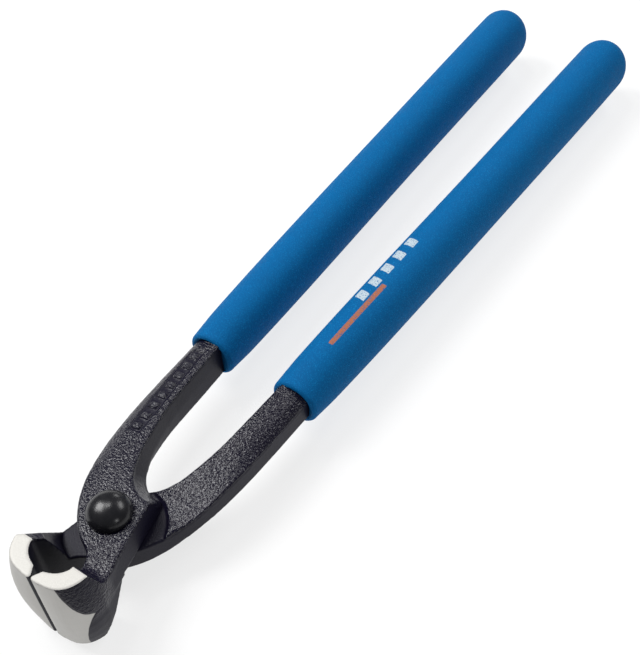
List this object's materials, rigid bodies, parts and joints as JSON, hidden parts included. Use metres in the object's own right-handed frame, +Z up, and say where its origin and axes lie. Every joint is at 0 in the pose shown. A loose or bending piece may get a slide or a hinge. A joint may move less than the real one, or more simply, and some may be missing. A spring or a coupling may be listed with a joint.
{
  "type": "tile nippers",
  "caption": "Hand-operated end-cutting tile nippers: two crossed forged steel arms on a rivet, hooked jaws with a straight cutting edge, and soft grip sleeves.",
  "frame": {"origin": "middle of the bounding box in plan, at the lowest surface of the jaws, with the tool lying flat", "axes": "+Y from the jaws to the handle ends, +Z up along the rivet's axis toward its domed head, +X to the handle that passes underneath"},
  "size_m": [0.0526, 0.25, 0.0248],
  "materials": {
    "forging_paint": "textured satin black paint on forged steel",
    "rivet_steel": "glossy black",
    "grip_coating": "fine sandy matte"
  },
  "bodies": {
    "lower_half": {"lower_arm": "forging_paint", "lower_grip_sleeve": "grip_coating", "pivot_rivet": "rivet_steel"},
    "upper_half": {"upper_arm": "forging_paint", "upper_grip_sleeve": "grip_coating"}
  },
  "joints": [
    {"name": "jaw_pivot", "type": "hinge", "parent": "lower_half", "child": "upper_half", "pos_m": [0, -0.10126, 0.0124], "axis": [0, 0, 1], "range_deg": [0, 45]}
  ]
}
